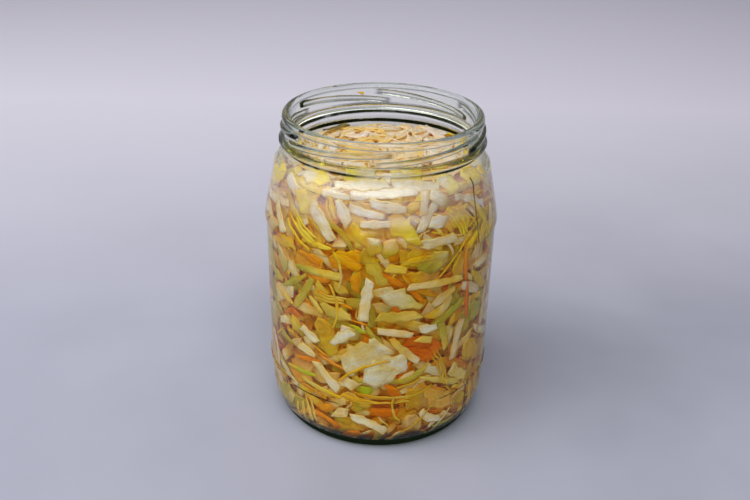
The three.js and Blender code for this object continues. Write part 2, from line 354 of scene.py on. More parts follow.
def shred_material(name, kind):
    """Wet vegetable: its own colour from the tint attribute, fibres along its length."""
    n = Nodes(name)
    p = n.new("ShaderNodeBsdfPrincipled")
    tint = n.new("ShaderNodeAttribute", attribute_name="tint").outputs["Color"]
    fib = n.new("ShaderNodeAttribute", attribute_name="fib").outputs["Vector"]
    streak = n.noise(n.scaled(fib, (0.12, 1.7, 1.0)), 1.0, 3.0, 0.6)
    patch = n.noise(n.scaled(fib, (0.16, 0.3, 1.0)), 1.0, 2.0)
    if kind == "carrot":
        c = n.mix(n.range(streak, 0.35, 0.7, 0, 0.5), tint, lin3(238, 150, 22))
        c = n.mix(n.range(patch, 0.5, 0.8, 0, 0.6), c, lin3(204, 104, 6))
    elif kind == "leaf":
        vein = n.noise(n.scaled(fib, (0.3, 0.9, 1.0)), 1.0, 4.0, 0.6, 0.6)
        c = n.mix(n.range(vein, 0.45, 0.62, 0, 0.28), tint, lin3(236, 204, 110))
        c = n.mix(n.range(patch, 0.45, 0.75, 0, 0.5), c, lin3(214, 168, 34))
    else:
        c = n.mix(n.range(streak, 0.42, 0.62, 0, 0.24), tint, lin3(238, 200, 78))
        fine = n.noise(n.scaled(fib, (0.1, 3.1, 1.0)), 1.0, 2.0, 0.5, 0.3)
        c = n.mix(n.range(fine, 0.54, 0.7, 0, 0.45), c, lin3(214, 168, 38))
        c = n.mix(n.range(patch, 0.48, 0.78, 0, 0.45), c, lin3(216, 170, 34))
    # stained by its neighbours in broad soft patches, whatever the piece
    pos = n.new("ShaderNodeTexCoord").outputs["Object"]
    stain = n.noise(n.scaled(pos, (95, 95, 130)), 1.0, 3.0, 0.55, 0.5)
    deep = n.mix(1.0, c, (1.0, 0.79, 0.26) if kind != "carrot" else (0.98, 0.8, 0.4), "MULTIPLY")
    hgt = n.new("ShaderNodeSeparateXYZ")
    n.link(pos, hgt.inputs[0])
    steeped = n.range(hgt.outputs["Z"], 0.104, 0.110, 1.0, 0.25)
    c = n.mix(n.math("MULTIPLY", steeped, n.range(stain, 0.46, 0.68, 0.0, 0.7)), c, deep)
    blot = n.noise(n.scaled(pos, (300, 300, 380)), 1.0, 3.0, 0.6, 0.8)
    c = n.mix(n.math("MULTIPLY", steeped, n.range(blot, 0.48, 0.66, 0.0, 0.5)), c, deep)
    n.link(c, p.inputs["Base Color"])
    n.link(n.range(patch, 0.3, 0.7, 0.22, 0.42), p.inputs["Roughness"])
    p.inputs["IOR"].default_value = 1.4
    n.link(n.new("ShaderNodeAttribute", attribute_name="gloss").outputs["Color"], p.inputs["Specular Tint"])
    p.inputs["Subsurface Weight"].default_value = SSS
    p.inputs["Subsurface Radius"].default_value = (1.0, 0.75, 0.4)
    p.inputs["Subsurface Scale"].default_value = 0.0022
    relief_ = n.math("ADD", n.math("MULTIPLY", streak, 0.5), n.noise(n.scaled(pos, (330, 330, 330)), 1.0, 2.0))
    n.link(n.bump(relief_, 0.55, 0.0011), p.inputs["Normal"])
    # thin wet shreds let part of the light through, warmed on its way
    t = n.new("ShaderNodeBsdfTransparent")
    t.inputs["Color"].default_value = (1.0, 0.87, 0.52, 1) if kind != "carrot" else (1.0, 0.70, 0.20, 1)
    lp = n.new("ShaderNodeLightPath")
    mx = n.new("ShaderNodeMixShader")
    through = n.math("MAXIMUM", n.math("MULTIPLY", lp.outputs["Is Shadow Ray"], 0.76), n.math("MULTIPLY", lp.outputs["Is Diffuse Ray"], 0.5))
    n.link(through, mx.inputs[0])
    n.link(p.outputs[0], mx.inputs[1])
    n.link(t.outputs[0], mx.inputs[2])
    n.link(mx.outputs[0], n.out.inputs["Surface"])
    return n.mat


SSS = 0.65


# ------------------------------------------------- inner wall as a strip (u, t)
sec = inner_section()[::-1]                     # from the floor's middle up
keep = np.concatenate([[True], np.linalg.norm(np.diff(sec, axis=0), axis=1) > 1e-6])
sec = sec[keep]
T = np.concatenate([[0], np.cumsum(np.linalg.norm(np.diff(sec, axis=0), axis=1))])
tt = np.arange(0, T[-1], 0.25)
PR, PZ = np.interp(tt, T, sec[:, 0]), np.interp(tt, T, sec[:, 1])
tr, tz = np.gradient(PR, tt), np.gradient(PZ, tt)
w5 = np.ones(9) / 9
tr = np.convolve(np.pad(tr, 4, mode="edge"), w5, "valid")
tz = np.convolve(np.pad(tz, 4, mode="edge"), w5, "valid")
nn = np.hypot(tr, tz)
NR, NZ = -tz / nn, tr / nn                       # towards the contents


def t_of_z(z):
    up = tt > 40
    return np.interp(z, PZ[up], tt[up])


def r_in(z):
    up = tt > 34
    return np.interp(z, PZ[up], PR[up])


def floor_z(r):
    lo = tt < 46
    return np.interp(r, PR[lo], PZ[lo])


def on_wall(u, t, depth):
    r = np.interp(t, tt, PR) + np.interp(t, tt, NR) * depth
    z = np.interp(t, tt, PZ) + np.interp(t, tt, NZ) * depth
    ph = u / R0
    return np.stack([r * np.sin(ph), -r * np.cos(ph), z], -1)


def tufts(x, y):
    return (0.9 * np.sin(x * 0.13 + 1.3) * np.cos(y * 0.11 - 0.4)
            + 0.55 * np.sin(x * 0.29 - y * 0.21 + 2.1)
            + 0.4 * np.cos(x * 0.17 + y * 0.37 - 1.0))


def heap_top(x, y):
    q = np.minimum(1, np.hypot(x, y) / 39.5)
    hollow = -1.6 * np.exp(-((x + 22) ** 2 + (y - 30) ** 2) / (2 * 81))
    return EDGE_Z + (TOP_Z - EDGE_Z) * (1 - q * q) ** 0.85 + tufts(x, y) * (1 - 0.35 * q * q) + hollow


# --------------------------------------------------------- laying the shreds
class Field:
    """How deep the pieces already laid reach, on a grid over a sheet."""

    def __init__(self, a0, a1, b0, b1, cell, wrap=False):
        self.a0, self.b0, self.cell, self.wrap = a0, b0, cell, wrap
        self.na, self.nb = int(math.ceil((a1 - a0) / cell)), int(math.ceil((b1 - b0) / cell))
        self.D = np.zeros((self.na, self.nb))
        self.C = np.zeros((self.na, self.nb))

    def ij(self, a, b):
        i = np.floor((a - self.a0) / self.cell).astype(int)
        j = np.floor((b - self.b0) / self.cell).astype(int)
        i = i % self.na if self.wrap else np.clip(i, 0, self.na - 1)
        return i, np.clip(j, 0, self.nb - 1)

    def at(self, a, b):
        return self.D[self.ij(a, b)]

    def cover(self, a, b):
        return self.C[self.ij(a, b)]

    def raise_to(self, a, b, v):
        i, j = self.ij(a, b)
        np.maximum.at(self.D, (i, j), v)
        k = np.unique(i * self.nb + j)
        self.C.ravel()[k] += 1


RIM_STAIN_AND_SHADE = np.array([0.96, 0.80, 0.42])      # Rims and ends of pieces go darker gold: partly the brine staining them under its surface, partly painted shade for their thin translucent edges


class Pile:
    """Verts, faces and attributes of one kind of piece."""

    def __init__(self, name, kind):
        self.name, self.kind = name, kind
        self.co, self.q, self.tint, self.fib, self.code, self.n = [], [], [], [], [], 0

    def add(self, co, quads, tint, fib, code):
        self.co.append(co)
        self.q.append(quads + self.n)
        self.tint.append(np.column_stack([tint, np.ones(len(co))]))
        self.fib.append(fib)
        self.code.append(np.where(code >= 0, code + 100 * len(self.code), -1))
        self.n += len(co)

    def build(self, mat):
        co = np.concatenate(self.co)
        ob = make_mesh(self.name, co, [np.concatenate(self.q)], [mat])
        me = ob.data
        tint = np.concatenate(self.tint)
        # painted light: in the upper band of the wall, pale pieces go cooler, golden ones brighter and deeper and
        # carrots yellower, for the light from above that the shoulder lets in
        upper_painted_light = smooth((co[:, 2] - 74) / 20) * (1 - smooth((co[:, 2] - 106) / 4) * smooth((36 - np.hypot(co[:, 0], co[:, 1])) / 3))
        if self.name == "carrot_shreds":
            tint[:, 1] = tint[:, 1] * (1 + 0.8 * upper_painted_light)
        gold_in_painted_light = upper_painted_light * smooth((0.5 - tint[:, 2] / tint[:, 0]) / 0.2)
        tint[:, :3] = tint[:, :3] * (1 + (upper_painted_light - gold_in_painted_light)[:, None] * np.array([-0.08, -0.04, 0.08]))
        ratio = tint[:, 1] / tint[:, 0]
        tint[:, 1] = tint[:, 1] * (1 - gold_in_painted_light) + tint[:, 0] * (0.66 + 0.35 * (ratio - 0.7)) * gold_in_painted_light
        tint[:, :3] = np.clip(tint[:, :3] * (1 + gold_in_painted_light[:, None] * np.array([0.22, 0.2, -0.7])), 0, 0.9)
        a = me.attributes.new("tint", "FLOAT_COLOR", "POINT")
        a.data.foreach_set("color", tint.astype(np.float32).ravel())
        f = me.attributes.new("fib", "FLOAT_VECTOR", "POINT")
        f.data.foreach_set("vector", np.concatenate(self.fib).astype(np.float32).ravel())
        wet = np.clip((co[:, 2] - BRINE_Z + 1) / 3, 0.04, 1)
        g = me.attributes.new("gloss", "FLOAT_COLOR", "POINT")
        g.data.foreach_set("color", np.column_stack([wet] * 3 + [np.ones(len(co))]).astype(np.float32).ravel())
        # the long edges of a cut shred are crisp
        ev = np.zeros(len(me.edges) * 2, np.int32)
        me.edges.foreach_get("vertices", ev)
        ev = ev.reshape(-1, 2)
        code = np.concatenate(self.code)
        crisp = (code[ev[:, 0]] == code[ev[:, 1]]) & (code[ev[:, 0]] >= 0)
        s = me.attributes.get("sharp_edge") or me.attributes.new("sharp_edge", "BOOLEAN", "EDGE")
        s.data.foreach_set("value", crisp)
        return ob


def lay(field, place, pile, a0, b0, th0, L, W, Hh, tint, curve=0.0, tilt=0.0, twist=0.0,
        cut=(0.3, -0.3), taper=(1.0, 1.0), slope=0.6, kind="strip", wave=0.0, start=-0.28,
        lift=0.0, crinkle=0.0, ragged=0.0, limit=None):
    """One piece laid on the sheet: it bends over what already lies there."""
    ns = max(7, int(L / 0.5) + 1)
    s = np.linspace(-L / 2, L / 2, ns)
    ds = s[1] - s[0]
    th = th0 + curve * s + crinkle * np.sin(s * 0.9 + a0)
    ca, sa = np.cos(th), np.sin(th)
    a = np.concatenate([[0], np.cumsum((ca[1:] + ca[:-1]) / 2 * ds)])
    b = np.concatenate([[0], np.cumsum((sa[1:] + sa[:-1]) / 2 * ds)])
    mid = ns // 2
    a, b = a0 + a - a[mid], b0 + b - b[mid]
    x = (s + L / 2) / L
    w = W * (taper[0] + (1 - taper[0]) * smooth(x / 0.55)) * (taper[1] + (1 - taper[1]) * smooth((1 - x) / 0.55))
    ph = rng.uniform(0, 6.28, 4)
    w = w * (1 + 0.08 * np.sin(s * 0.6 + ph[0]) + 0.07 * np.sin(s * 1.25 + ph[1]) + 0.045 * np.sin(s * 2.6 + ph[2]))
    near_end = np.clip(np.minimum(x, 1 - x) * L / (0.5 * W + 0.2), 0, 1)
    blunted = rng.uniform(0.0, 0.2) if pile.name == "cabbage_ribs" else rng.uniform(0.1, 0.5)
    w = np.maximum(w * (1 - blunted * (1 - near_end) ** 2), 0.3)
    if kind == "leaf":
        w = w * (0.78 + 0.22 * np.minimum(smooth(x / 0.12), smooth((1 - x) / 0.12)))
    run = min(0.5, 0.9 * W / L + 0.15)
    sh = (cut[0] * np.clip(1 - x / run, 0, 1) + cut[1] * np.clip(1 - (1 - x) / run, 0, 1)) * w

    def spread(a, b, ca, sa, w, sh, s, lat):
        rag = 1 + ragged * (np.sin(1.1 * s + 3 * np.sign(lat) + a0) + 0.6 * np.sin(2.7 * s + 5 * np.sign(lat) + b0)) * np.abs(lat) * 2
        return a - sa * w * lat * rag + ca * sh * lat, b + ca * w * lat * rag + sa * sh * lat

    def offset(A, B, w, tl, lat):
        off = tl * w * lat + np.abs(tl) * w / 2
        if wave:
            off = off + wave * (1 + np.sin(0.55 * (A + 1.3 * B) + a0) * np.cos(0.7 * (B - 0.6 * A) + b0)) * 0.5
            off = off + 0.3 * wave * (1 + np.sin(1.3 * (A - 0.7 * B) + b0 + ph[3]))
        return off

    nl = max(4, int(W / 0.5) + 1)
    lat = np.linspace(-0.5, 0.5, nl)
    col = [v[:, None] for v in (a, b, ca, sa, w, sh, s)]
    A, B = spread(*col, lat)
    tl = tilt + twist * s
    off = offset(A, B, w[:, None], tl[:, None], lat)
    under = (field.at(A, B) - off).max(1)
    dist = np.abs(s[:, None] - s[None, :])
    dep = (under[None, :] - slope * dist).max(1)
    soft = np.convolve(np.pad(dep, 2, mode="edge"), [0.1, 0.2, 0.4, 0.2, 0.1], "valid")
    dep = np.maximum(soft, dep - 0.12) + start + lift
    reach = dep[:, None] + off + Hh * 0.97
    if limit is not None and (reach - limit(A, B)).max() > 0:
        return False
    field.raise_to(A, B, reach)
    # mesh from every third station
    pick = np.unique(np.concatenate([np.arange(0, ns, 4 if kind == "leaf" else 3), [1, ns - 2, ns - 1]]))
    if kind == "leaf":
        K = max(5, min(9, int(W / 1.6) + 2))
        q = np.linspace(-1, 1, K)
        q = np.sign(q) * np.abs(q) ** 0.8
        edge = np.where(np.abs(q) > 0.99, 0.25, 0.0)
        mark = [0, K - 1]
    elif W > 2.4:
        K, q = 5, np.array([-1, -0.84, 0, 0.84, 1])
        edge, mark = np.array([0.27, 0.07, 0, 0.07, 0.27]), [1, 3]
    else:
        K, q = 4, np.array([-1, -0.72, 0.72, 1])
        edge, mark = np.array([0.26, 0.0, 0.0, 0.26]), [1, 2]
    m = 2 * K
    n = len(pick)
    ap, bp, cp, sp, wp, shp, sq, dp, tp = (v[pick][:, None] for v in (a, b, ca, sa, w, sh, s, dep, tl))
    latq = q[None, :] / 2
    Ao, Bo = spread(ap, bp, cp, sp, wp, shp, sq, latq)
    offq = offset(Ao, Bo, wp, tp, latq)
    blunt = np.zeros((n, 1))
    blunt[[0, -1]] = 0.2
    Do = dp + offq + Hh * np.maximum(edge[None, :], blunt)
    Di = dp + offq + Hh * (1 - np.maximum(edge[None, :], blunt))
    ring = [np.concatenate([p, r[:, ::-1]], 1).ravel() for p, r in ((Ao, Ao), (Bo, Bo), (Do, Di))]
    co = place(*ring)
    i = np.arange(n - 1)[:, None] * m
    j = np.arange(m)[None, :]
    k = (j + 1) % m
    quads = np.stack([i + j, i + m + j, i + m + k, i + k], -1).reshape(-1, 4)
    caps = []
    for c0, flip in ((0, False), ((n - 1) * m, True)):
        for e in range(K - 1):
            f = [c0 + e, c0 + e + 1, c0 + m - 2 - e, c0 + m - 1 - e]
            caps.append(f if not flip else f[::-1])
    quads = np.concatenate([quads, np.array(caps)])
    code = np.full((n, m), -1)
    for e in mark:
        code[:, e] = e
        code[:, m - 1 - e] = m - 1 - e
    if pile.name != "cabbage_ribs":
        code[:] = -1
    seed = rng.uniform(0, 900)
    fib = np.stack([np.repeat(s[pick], m) + seed,
                    np.tile(np.concatenate([q, q[::-1]]) / 2, n) * np.repeat(w[pick], m) + seed * 0.37,
                    np.full(n * m, seed * 0.11)], -1)
    t0, t1 = tint
    k = smooth((x[pick] - 0.5) * rng.uniform(1, 2.5) + 0.5 + rng.uniform(-0.3, 0.3))
    hue = t0[None, :] * (1 - k[:, None]) + t1[None, :] * k[:, None]
    # stain and painted shade: colour goes from a paler middle to a darker golden rim and ends
    aq = np.concatenate([np.abs(q), np.abs(q)])
    rim = np.tile(np.where(aq > 0.95, 1.0, 0.5 * aq ** 1.5), n).reshape(n, m)
    ends = 0.45 * np.clip(1 - np.minimum(x[pick], 1 - x[pick]) * L / 1.4, 0, 1)
    rim = np.clip(rim + ends[:, None], 0, 1).reshape(-1, 1)
    hue = np.repeat(hue, m, axis=0)
    pale = np.clip(hue * 1.08, 0, 0.92)
    pile.add(co, quads, pale * (1 - rim) + hue * RIM_STAIN_AND_SHADE * rim, fib, code.ravel())
    return True


# ------------------------------------------------------------ kinds and colours
WHITE = [lin3(230, 216, 216), lin3(226, 210, 205), lin3(230, 211, 199), lin3(219, 198, 181)]
CREAM = [lin3(220, 184, 74), lin3(214, 172, 42), lin3(222, 180, 54), lin3(206, 164, 36)]
GREEN = [lin3(168, 164, 64), lin3(157, 155, 52), lin3(178, 172, 78), lin3(161, 157, 48)]
LIME = [lin3(164, 176, 38), lin3(176, 182, 42)]
AMBER = [lin3(226, 162, 18), lin3(218, 148, 12), lin3(230, 174, 28), lin3(212, 137, 8)]
CARROT = [lin3(222, 132, 12), lin3(230, 150, 20), lin3(214, 118, 8), lin3(232, 162, 30)]


def shade_of(palette, spread=0.06):
    c = np.array(palette[rng.integers(len(palette))])
    return np.clip(c * (1 + rng.normal(0, spread)) * (1 + rng.normal(0, spread * 0.4, 3)), 0, 0.93)


def pair(palette, other=None):
    """Colours of a piece's two ends."""
    a = shade_of(palette)
    if rng.random() < 0.45:
        b = shade_of(other if other is not None else palette)
        return a, a * 0.3 + b * 0.7
    return a, a * rng.uniform(0.92, 1.06)


piles = {
    "ribs": Pile("cabbage_ribs", "strip"),
    "strips": Pile("cabbage_strips", "strip"),
    "green": Pile("green_strips", "strip"),
    "leaves": Pile("cabbage_leaves", "leaf"),
    "threads": Pile("fine_threads", "strip"),
    "carrot": Pile("carrot_shreds", "carrot"),
}


def kind_of(what, k=1.0):
    """Size, thickness, colours, pile and section of a random piece. k shrinks it."""
    r = rng
    if what == "rib":
        L, W, Hh = r.uniform(10, 20), np.clip(r.lognormal(1.42, 0.26), 2.6, 7.2), r.uniform(0.7, 1.1)
        return L * k, W * (0.35 + 0.65 * k), Hh, pair(WHITE, CREAM), "ribs", "strip"
    if what == "block":
        L, W, Hh = r.uniform(5, 9), r.uniform(3.8, 6.8), r.uniform(0.75, 1.15)
        return L * k, W * k, Hh, pair(WHITE if r.random() < 0.6 else CREAM, GREEN), "ribs", "strip"
    if what == "strip":
        L, W, Hh = r.uniform(10, 24), np.clip(r.lognormal(1.3, 0.3), 2.0, 6.6), r.uniform(0.45, 0.75)
        return L * k, W * (0.35 + 0.65 * k), Hh, pair(CREAM if r.random() < 0.7 else AMBER, WHITE), "strips", "strip"
    if what == "thin":
        L, W, Hh = r.uniform(8, 24), r.uniform(0.7, 1.2), r.uniform(0.35, 0.55)
        return L * (0.4 + 0.6 * k), W, Hh, pair(CREAM if r.random() < 0.45 else (AMBER if r.random() < 0.8 else CARROT), WHITE), "threads", "strip"
    if what == "green":
        L, W, Hh = r.uniform(9, 22), np.clip(r.lognormal(1.25, 0.28), 2.0, 6.0), r.uniform(0.45, 0.75)
        return L * k, W * (0.35 + 0.65 * k), Hh, pair(GREEN if r.random() < 0.9 else LIME, CREAM), "green", "strip"
    if what == "leaf":
        L, W, Hh = r.uniform(12, 20), r.uniform(8, 13), r.uniform(0.4, 0.6)
        return L * k, W * k, Hh, pair(CREAM if r.random() < 0.45 else (AMBER if r.random() < 0.5 else GREEN), WHITE), "leaves", "leaf"
    if what == "slice":
        L, W, Hh = r.uniform(7, 12), r.uniform(3.5, 6), r.uniform(0.5, 0.8)
        return L * k, W * k, Hh, pair(CARROT), "carrot", "strip"
    L, W, Hh = r.uniform(9, 26), r.uniform(1.5, 2.9), r.uniform(0.5, 0.8)
    return L * (0.3 + 0.7 * k), W, Hh, pair(CARROT), "carrot", "strip"


def draw(field, place, a0, b0, th, what, made_of=None, **kw):
    r = rng
    L, W, Hh, tint, pile, kind = made_of if made_of is not None else kind_of(what)
    blunt = what in ("rib", "block", "slice")
    args = dict(
        curve=r.normal(0, 0.03 if what in ("rib", "block") else 0.055),
        ragged=abs(r.normal(0, 0.09)), wave=r.uniform(0.1, 0.45) if what != "thin" else 0.0,
        tilt=r.normal(0, 0.07), twist=r.normal(0, 0.008),
        cut=(r.normal(0, 0.55), r.normal(0, 0.55)),
        taper=((r.uniform(0.75, 1), r.uniform(0.75, 1)) if blunt else (r.uniform(0.3, 1), r.uniform(0.5, 1))),
        crinkle=abs(r.normal(0, 0.035 if blunt else (0.2 if what == "thin" else 0.09))), kind=kind)
    if kind == "leaf":
        args.update(wave=r.uniform(0.3, 0.9), ragged=0.2, taper=(r.uniform(0.5, 1), r.uniform(0.7, 1)))
    args.update(kw)
    return lay(field, place, piles[pile], a0, b0, th, L, W, Hh, tint, **args)


MIXES = ["rib"] * 23 + ["strip"] * 19 + ["thin"] * 12 + ["green"] * 11 + ["leaf"] * 15 + ["block"] * 12 + ["carrot"] * 4 + ["slice"] * 3
BEHIND = ["rib"] * 6 + ["strip"] * 30 + ["thin"] * 4 + ["green"] * 8 + ["leaf"] * 28 + ["block"] * 3 + ["carrot"] * 5 + ["slice"] * 3


# lie of the shreds round the wall: nearly level, with a slow random turn
ku = rng.integers(1, 5, 7)
kt = rng.uniform(-0.07, 0.07, 7)
kp = rng.uniform(0, 6.28, 7)


def lie(u, t):
    v = sum(np.sin(k * u / R0 + q * t + p) for k, q, p in zip(ku, kt, kp))
    return -0.1 + 0.16 * v


T_LOW = float(tt[np.argmin(np.abs(PR - 37.5) + (tt > 60) * 99)])
edge_t = t_of_z(EDGE_Z)
wall = Field(0, 2 * math.pi * R0, T_LOW - 8, edge_t + 10, 0.4, wrap=True)


def edge_line(u):
    x, y = 37 * np.sin(u / R0), -37 * np.cos(u / R0)
    return t_of_z(heap_top(x, y)) + 0.4


# ------------------------------------------- camera, and where a view ray lands
PITCH, ROLL, FOCAL = 0.472606, 0.0215517, 860.0
cx, cy, cz = 2.117, -53.726, 329.090      # rim centre: right, down and ahead
st, ct = math.sin(PITCH), math.cos(PITCH)
right, down, ahead = Vector((1, 0, 0)), Vector((0, -st, -ct)), Vector((0, ct, -st))
eye = Vector((0, 0, H)) - (right * cx + down * cy + ahead * cz)
r2 = right * math.cos(ROLL) - down * math.sin(ROLL)
d2 = right * math.sin(ROLL) + down * math.cos(ROLL)
OUT = outer_section()[::-1]
OUT_Z, OUT_R = OUT[::-1][:, 1], OUT[::-1][:, 0]


def wall_at(px, py):
    """(u, t) on the inner wall seen at a point of the 750 by 500 frame, through the glass."""
    v = (r2 * ((px - 375) / FOCAL) + d2 * ((py - 250) / FOCAL) + ahead).normalized()
    rad = 46.0
    for _ in range(6):
        a = v.x ** 2 + v.y ** 2
        b = 2 * (eye.x * v.x + eye.y * v.y)
        c = eye.x ** 2 + eye.y ** 2 - rad * rad
        k = (-b - math.sqrt(max(0, b * b - 4 * a * c))) / (2 * a)
        p = eye + v * k
        rad = float(np.interp(p.z, OUT_Z[12:], OUT_R[12:]))
    n = Vector((p.x, p.y, 0)).normalized()
    cosi = -v.dot(n)
    eta = 1 / 1.5
    w = v * eta + n * (eta * cosi - math.sqrt(1 - eta * eta * (1 - cosi * cosi)))
    for rr in (rad - WALL, rad - WALL):
        a = w.x ** 2 + w.y ** 2
        b = 2 * (p.x * w.x + p.y * w.y)
        c = p.x ** 2 + p.y ** 2 - rr * rr
        k = (-b - math.sqrt(max(0, b * b - 4 * a * c))) / (2 * a)
    q = p + w * k
    phi = math.atan2(q.x, -q.y)
    return phi * R0, float(t_of_z(q.z))


def put(what, x0, y0, x1, y1, W, tint, bow=0.0, **kw):
    """A piece from one point of the frame to another, lying against the glass."""
    (u0, t0), (u1, t1) = wall_at(x0, y0), wall_at(x1, y1)
    L = math.hypot(u1 - u0, t1 - t0)
    _, _, Hh, _, pile, kind = kind_of(what)
    args = dict(curve=bow / max(L, 1) + rng.normal(0, 0.012), cut=(rng.normal(0, 0.4), rng.normal(0, 0.4)), tilt=rng.normal(0, 0.03), twist=0.0)
    args.update(kw)
    draw(wall, on_wall, (u0 + u1) / 2, (t0 + t1) / 2, math.atan2(t1 - t0, u1 - u0), what,
         made_of=(L, W, Hh, tint, pile, kind), **args)


def two(a, b=None):
    a = np.array(lin3(*a))
    return a, (a if b is None else np.array(lin3(*b)))


wht, wht2 = (233, 218, 210), (228, 207, 186)
crm, olv, grn = (222, 194, 112), (192, 170, 78), (168, 164, 64)
lim, yel, amb = (170, 182, 34), (228, 180, 14), (222, 156, 16)
car, car2, pnk = (214, 116, 6), (226, 146, 14), (226, 168, 90)

# a few fine threads lie against the glass
for _ in range(30):
    u_ = rng.uniform(0, 2 * math.pi * R0)
    t_ = rng.uniform(T_LOW, edge_line(u_) - 8)
    draw(wall, on_wall, u_, t_, lie(u_, t_) + rng.normal(0, 0.7), "thin")

def bundle(what, x0, y0, x1, y1, n, gap, W, tint, bow=0.0):
    """n pieces side by side between two points of the frame, gap apart."""
    dx, dy = x1 - x0, y1 - y0
    q = math.hypot(dx, dy)
    for k in range(n):
        o = (k - (n - 1) / 2) * gap + rng.normal(0, 0.4)
        e0, e1 = rng.uniform(-0.08, 0.14, 2)
        put(what, x0 + dx * e0 - dy / q * o, y0 + dy * e0 + dx / q * o, x1 - dx * e1 - dy / q * o, y1 - dy * e1 + dx / q * o,
            W * rng.uniform(0.7, 1.25), tint, bow=bow * rng.uniform(0.7, 1.3))


bundle("thin", 290, 216, 313, 247, 4, 3.4, 1.3, two(yel, (226, 196, 80)), bow=0.5)
bundle("thin", 449, 206, 468, 236, 3, 3.2, 1.3, two((228, 150, 18), yel), bow=-0.3)
bundle("strip", 303, 396, 311, 424, 4, 4.6, 2.0, two((222, 192, 112), (226, 204, 150)))
bundle("thin", 318, 296, 346, 302, 3, 3.0, 1.2, two((206, 176, 70), (222, 190, 96)), bow=0.3)
bundle("thin", 356, 396, 412, 399, 3, 3.2, 1.2, two((224, 164, 40), (226, 186, 84)), bow=0.2)
bundle("thin", 436, 352, 446, 384, 3, 3.0, 1.2, two((224, 150, 30), (226, 176, 70)), bow=-0.5)

# pieces that stand out, front first
put("rib", 312, 205, 333, 242, 5.4, two(wht), taper=(1, 0.8))
put("rib", 277, 204, 283, 234, 4.6, two(wht))
put("rib", 338, 201, 349, 226, 5.0, two(wht), taper=(0.5, 1))
put("rib", 349, 209, 385, 218, 3.3, two(wht), taper=(1, 0.6))
put("rib", 370, 204, 408, 211, 4.2, two(wht), taper=(0.8, 0.7))
put("rib", 360, 225, 391, 225, 3.0, two(wht, wht2))
put("leaf", 388, 223, 418, 235, 8.6, two(yel, (226, 178, 40)), wave=0.3, taper=(0.8, 1))
put("block", 431, 223, 447, 222, 5.0, two(wht))
put("rib", 420, 246, 458, 237, 3.7, two(wht2), crinkle=0.12, ragged=0.12)
put("block", 373, 239, 376, 256, 5.2, two(wht, grn))
put("block", 390, 241, 391, 258, 6.4, two(wht2, grn))
put("green", 363, 252, 385, 286, 5.0, two(grn, olv), bow=-0.35)
put("rib", 387, 268, 407, 271, 3.6, two(crm))
put("rib", 408, 287, 463, 276, 3.1, two(wht2, crm), bow=0.25)
put("green", 296, 265, 342, 277, 3.4, two(grn, crm))
put("rib", 369.5, 281, 362, 322, 4.4, two(wht))
put("leaf", 377, 290, 422, 308, 7.4, two(wht2, crm), taper=(1, 0.35), wave=0.3)
put("rib", 378, 318, 420, 315, 4.8, two(olv, crm), taper=(0.8, 0.8))
put("strip", 296, 306, 313, 279, 3.4, two(olv, grn))
put("strip", 278, 286, 294, 305, 3.1, two(crm))
put("green", 284, 285, 307, 275, 2.8, two(grn))
put("leaf", 321, 307, 351, 318, 5.2, two(olv, crm), wave=0.2)
put("strip", 309, 296, 322, 314, 3.2, two(crm))
put("block", 334, 284, 345, 294, 4.0, two(olv))
put("carrot", 318, 291, 352, 309, 1.7, two(car2))
put("slice", 333, 255, 361, 269, 4.4, two(car), taper=(0.6, 0.8))
put("carrot", 298, 250, 320, 263, 3.0, two((206, 104, 5)))
put("carrot", 329, 197, 334, 220, 2.2, two(amb, car2))
put("carrot", 468, 247, 466, 281, 2.6, two((214, 112, 14)))
put("carrot", 467, 284, 466, 318, 2.3, two((212, 106, 12)))
put("carrot", 434, 218, 469, 208, 2.6, two(amb, car2))
put("carrot", 463, 217, 466, 233, 2.4, two(car2))
put("green", 290, 217, 315, 249, 2.1, two(yel, olv), bow=0.5)
put("strip", 301, 240, 331, 251, 2.4, two(crm))
put("leaf", 331, 344, 353, 332, 4.4, two(wht), wave=0.2)
put("leaf", 364, 376, 408, 362, 12.0, two(wht), wave=0.25, taper=(1, 0.75), cut=(0.5, 0.2))
put("leaf", 343, 368, 384, 344, 12.0, two(wht2, wht), wave=0.25, taper=(0.8, 1), cut=(0.3, -0.4))
put("green", 366, 327, 390, 360, 3.6, two(grn, wht2), bow=0.12)
put("thin", 349, 325, 367, 333, 1.8, two(lim))
put("rib", 378, 331, 414, 335, 3.2, two(wht2))
put("rib", 390, 340, 418, 363, 3.5, two(crm, wht2), bow=0.15)
put("block", 420, 330, 438, 327, 3.6, two(wht))
put("block", 418, 339, 432, 340, 3.2, two(crm))
put("slice", 407, 341, 433, 343, 4.8, two((214, 106, 4)))
put("slice", 407, 352, 433, 357, 6.4, two((210, 100, 3)), taper=(0.9, 0.6))
put("slice", 404, 347, 439, 352, 12.0, two((214, 108, 5)), ragged=0.15)
put("green", 442, 323, 446, 349, 3.5, two(grn, crm))
put("thin", 446, 341, 420, 371, 1.3, two(pnk), bow=0.9)
put("rib", 302, 327, 318, 343, 4.2, two(wht), taper=(1, 0.8))
put("rib", 299, 344, 315, 356, 4.2, two(wht), taper=(1, 0.6))
put("rib", 315, 362, 338, 391, 4.2, two(wht), taper=(0.8, 1))
put("block", 340, 380, 357, 388, 5.6, two(wht, wht2))
put("block", 356, 390, 373, 392, 3.8, two(lim, (160, 184, 30)))
put("carrot", 295, 355, 320, 362, 2.4, two(car2))
put("carrot", 319, 355, 356, 375, 1.6, two(pnk, car2))
put("slice", 388, 386, 404, 404, 3.4, two(car))
put("slice", 370, 411, 398, 413, 4.6, two((214, 108, 6)))
put("slice", 330, 262, 366, 258, 7.5, two((216, 116, 8)), ragged=0.15)
put("leaf", 296, 256, 322, 268, 9.0, two((218, 140, 24)), wave=0.3)
